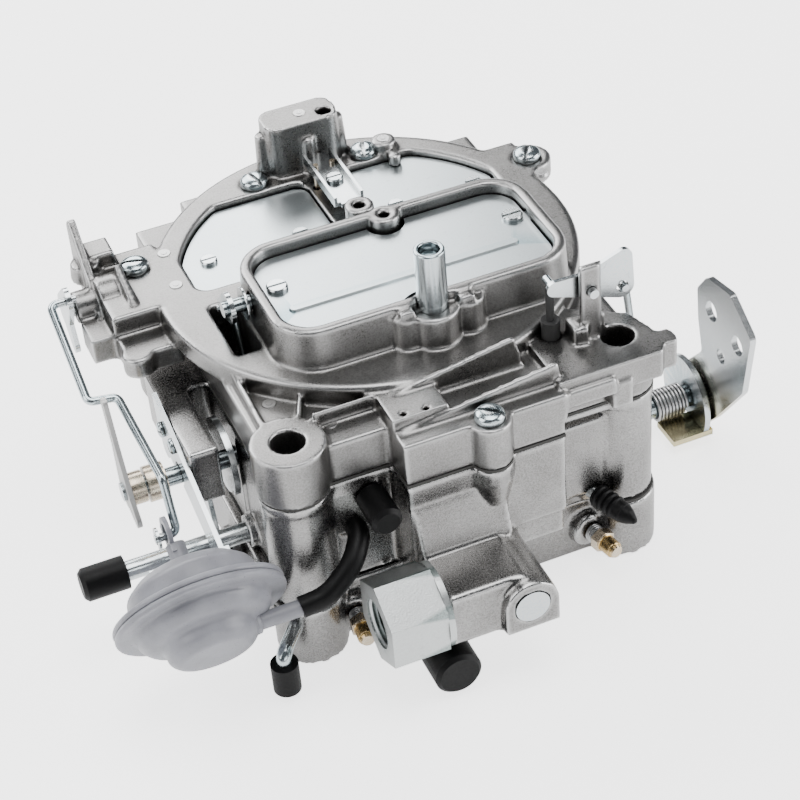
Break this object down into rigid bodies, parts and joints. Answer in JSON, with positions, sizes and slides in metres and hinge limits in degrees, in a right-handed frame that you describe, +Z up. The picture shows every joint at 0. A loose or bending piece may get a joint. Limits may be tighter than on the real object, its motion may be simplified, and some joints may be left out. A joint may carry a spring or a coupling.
{
  "type": "carburetor",
  "caption": "Spread-bore downdraft carburetor with choke, air valve, throttle linkage, accelerator pump and vacuum break.",
  "frame": {"origin": "centre of the mounting-bolt pattern on the underside of the throttle body", "axes": "+X towards the throttle lever, +Y towards the rear (away from the fuel inlet), +Z up towards the air cleaner"},
  "size_m": [0.224, 0.2002, 0.118],
  "materials": {
    "cast_alloy": "bead-blasted die casting, satin",
    "gasket_fibre": "compressed fibre sheet, matt",
    "zinc_plated_steel": "bright bluish zinc plating",
    "zinc_plated_plate": "pressed sheet, satin zinc plating",
    "brass": "turned, semi-bright",
    "sintered_bronze": "sintered, matt",
    "spring_steel": "drawn wire",
    "dark_steel": "phosphated, dull",
    "grey_nylon": "moulded nylon, translucent",
    "black_rubber": "moulded, semi-matt",
    "black_plastic": "moulded, matt"
  },
  "bodies": {
    "root": {"throttle_body": "cast_alloy", "float_bowl": "cast_alloy", "air_horn": "cast_alloy", "bowl_base_gasket": "gasket_fibre", "air_horn_gasket": "gasket_fibre", "assembly_screws": "zinc_plated_steel", "vent_tube": "zinc_plated_steel", "hinge_pins": "zinc_plated_steel", "needle_seat": "brass", "main_jets": "brass", "inlet_nut": "zinc_plated_steel", "fuel_filter": "sintered_bronze", "inlet_plug": "zinc_plated_steel", "adjusting_screw_springs": "spring_steel", "vacuum_break_can": "grey_nylon", "vacuum_break_cover": "grey_nylon", "vacuum_break_bracket": "zinc_plated_steel", "vacuum_tubes": "zinc_plated_steel", "rubber_caps": "black_rubber", "vacuum_hose": "black_rubber", "pump_spring": "spring_steel", "power_piston_spring": "spring_steel"},
    "primary_throttle": {"primary_throttle_shaft": "zinc_plated_steel", "primary_throttle_plates": "brass", "primary_plate_screws": "brass", "throttle_lever": "zinc_plated_steel", "throttle_return_spring": "spring_steel", "fast_idle_lever": "zinc_plated_steel"},
    "secondary_throttle": {"secondary_throttle_shaft": "zinc_plated_steel", "secondary_throttle_plates": "brass", "secondary_plate_screws": "brass"},
    "secondary_link": {"secondary_link": "zinc_plated_steel"},
    "pump_lever": {"pump_lever": "zinc_plated_steel"},
    "pump_plunger": {"pump_plunger": "black_plastic"},
    "pump_rod": {"pump_rod": "zinc_plated_steel"},
    "choke_valve": {"choke_shaft": "zinc_plated_steel", "choke_valve_plate": "zinc_plated_plate", "choke_valve_screws": "zinc_plated_steel"},
    "choke_rod": {"choke_rod": "zinc_plated_steel"},
    "choke_counter": {"intermediate_choke_shaft": "zinc_plated_steel", "fast_idle_cam": "zinc_plated_steel", "choke_lever": "dark_steel", "brass_bushings": "brass"},
    "air_valve": {"air_valve_shaft": "zinc_plated_steel", "air_valve_plates": "zinc_plated_plate", "air_valve_screws": "zinc_plated_steel", "air_valve_lever": "zinc_plated_steel"},
    "air_valve_rod": {"air_valve_rod": "zinc_plated_steel", "rod_clip": "zinc_plated_steel"},
    "vacuum_plunger": {"vacuum_break_plunger": "grey_nylon"},
    "metering_hanger": {"metering_rod_hanger": "zinc_plated_steel", "hanger_screw": "zinc_plated_steel", "secondary_metering_rods": "brass"},
    "float": {"float": "black_plastic"},
    "inlet_needle": {"inlet_needle": "dark_steel"},
    "power_piston": {"power_piston": "brass", "primary_metering_rods": "brass"},
    "mixture_screw_left": {"mixture_screw_left": "brass"},
    "mixture_screw_right": {"mixture_screw_right": "brass"},
    "idle_speed_screw": {"idle_speed_screw": "zinc_plated_steel"}
  },
  "joints": [
    {"name": "primary_throttle_hinge", "type": "hinge", "parent": "root", "child": "primary_throttle", "pos_m": [0, -0.032, 0.011], "axis": [-1, 0, 0], "range_deg": [0, 75], "stiffness_Nm_per_rad": 0.03, "springref_deg": -45.84},
    {"name": "secondary_throttle_hinge", "type": "hinge", "parent": "root", "child": "secondary_throttle", "pos_m": [0, 0.026, 0.011], "axis": [-1, 0, 0], "range_deg": [0, 75]},
    {"name": "secondary_link_pivot", "type": "hinge", "parent": "primary_throttle", "child": "secondary_link", "pos_m": [0.082, -0.024, 0.006], "axis": [-1, 0, 0], "range_deg": [-75, 0]},
    {"name": "pump_lever_hinge", "type": "hinge", "parent": "root", "child": "pump_lever", "pos_m": [0.0465, -0.066, 0.1], "axis": [0, -1, 0], "range_deg": [0, 41.5]},
    {"name": "pump_plunger_slide", "type": "slide", "parent": "root", "child": "pump_plunger", "axis": [0, 0, -1], "range_m": [0, 0.0076], "deforming": ["pump_spring"]},
    {"name": "pump_rod_slide", "type": "slide", "parent": "root", "child": "pump_rod", "axis": [0, 0, 1], "range_m": [0, 0.0092]},
    {"name": "choke_valve_hinge", "type": "hinge", "parent": "root", "child": "choke_valve", "pos_m": [0, -0.018, 0.0942], "axis": [1, 0, 0], "range_deg": [0, 75]},
    {"name": "choke_rod_pivot", "type": "hinge", "parent": "choke_valve", "child": "choke_rod", "pos_m": [-0.052, -0.01, 0.0892], "axis": [1, 0, 0], "range_deg": [-75, 0]},
    {"name": "choke_counter_hinge", "type": "hinge", "parent": "root", "child": "choke_counter", "pos_m": [-0.075, -0.035, 0.051], "axis": [1, 0, 0], "range_deg": [0, 75]},
    {"name": "air_valve_hinge", "type": "hinge", "parent": "root", "child": "air_valve", "pos_m": [0, 0.022, 0.0815], "axis": [-1, 0, 0], "range_deg": [0, 75], "stiffness_Nm_per_rad": 0.015, "springref_deg": -45.84},
    {"name": "air_valve_rod_pivot", "type": "hinge", "parent": "air_valve", "child": "air_valve_rod", "pos_m": [-0.095, 0.0143, 0.0907], "axis": [1, 0, 0], "range_deg": [0, 71]},
    {"name": "vacuum_plunger_slide", "type": "slide", "parent": "root", "child": "vacuum_plunger", "axis": [0, 0.8869, 0.462], "range_m": [0, 0.0132]},
    {"name": "metering_hanger_slide", "type": "slide", "parent": "root", "child": "metering_hanger", "axis": [0, 0, 1], "range_m": [0, 0.0081]},
    {"name": "float_hinge", "type": "hinge", "parent": "root", "child": "float", "pos_m": [0.002, -0.072, 0.063], "axis": [-1, 0, 0], "range_deg": [0, 10]},
    {"name": "inlet_needle_slide", "type": "slide", "parent": "root", "child": "inlet_needle", "axis": [0, 0, 1], "range_m": [0, 0.0008]},
    {"name": "power_piston_slide", "type": "slide", "parent": "root", "child": "power_piston", "axis": [0, 0, 1], "range_m": [-0.003, 0], "stiffness_N_per_m": 30, "springref_m": 0.004, "deforming": ["power_piston_spring"]},
    {"name": "mixture_screw_left_turn", "type": "hinge", "parent": "root", "child": "mixture_screw_left", "pos_m": [-0.0395, -0.068, 0.011], "axis": [-0.1203, -0.9927, 0], "continuous": true},
    {"name": "mixture_screw_right_turn", "type": "hinge", "parent": "root", "child": "mixture_screw_right", "pos_m": [0.039, -0.068, 0.011], "axis": [0.2, -0.9798, 0], "continuous": true},
    {"name": "idle_speed_screw_turn", "type": "hinge", "parent": "root", "child": "idle_speed_screw", "pos_m": [-0.0705, -0.06, 0.016], "axis": [0, -1, 0], "continuous": true}
  ],
  "couplings": [
    {"joint": "secondary_throttle_hinge", "follows": "primary_throttle_hinge", "ratio": 1},
    {"joint": "secondary_link_pivot", "follows": "primary_throttle_hinge", "ratio": -1},
    {"joint": "pump_lever_hinge", "follows": "primary_throttle_hinge", "ratio": 0.5533},
    {"joint": "pump_plunger_slide", "follows": "primary_throttle_hinge", "m_per_rad": 0.00573},
    {"joint": "pump_rod_slide", "follows": "primary_throttle_hinge", "m_per_rad": 0.006952},
    {"joint": "choke_rod_pivot", "follows": "choke_valve_hinge", "ratio": -1},
    {"joint": "choke_counter_hinge", "follows": "choke_valve_hinge", "ratio": 1},
    {"joint": "air_valve_rod_pivot", "follows": "air_valve_hinge", "ratio": 0.9436},
    {"joint": "vacuum_plunger_slide", "follows": "air_valve_hinge", "m_per_rad": 0.01001},
    {"joint": "metering_hanger_slide", "follows": "air_valve_hinge", "m_per_rad": 0.00611},
    {"joint": "inlet_needle_slide", "follows": "float_hinge", "m_per_rad": 0.0045}
  ]
}
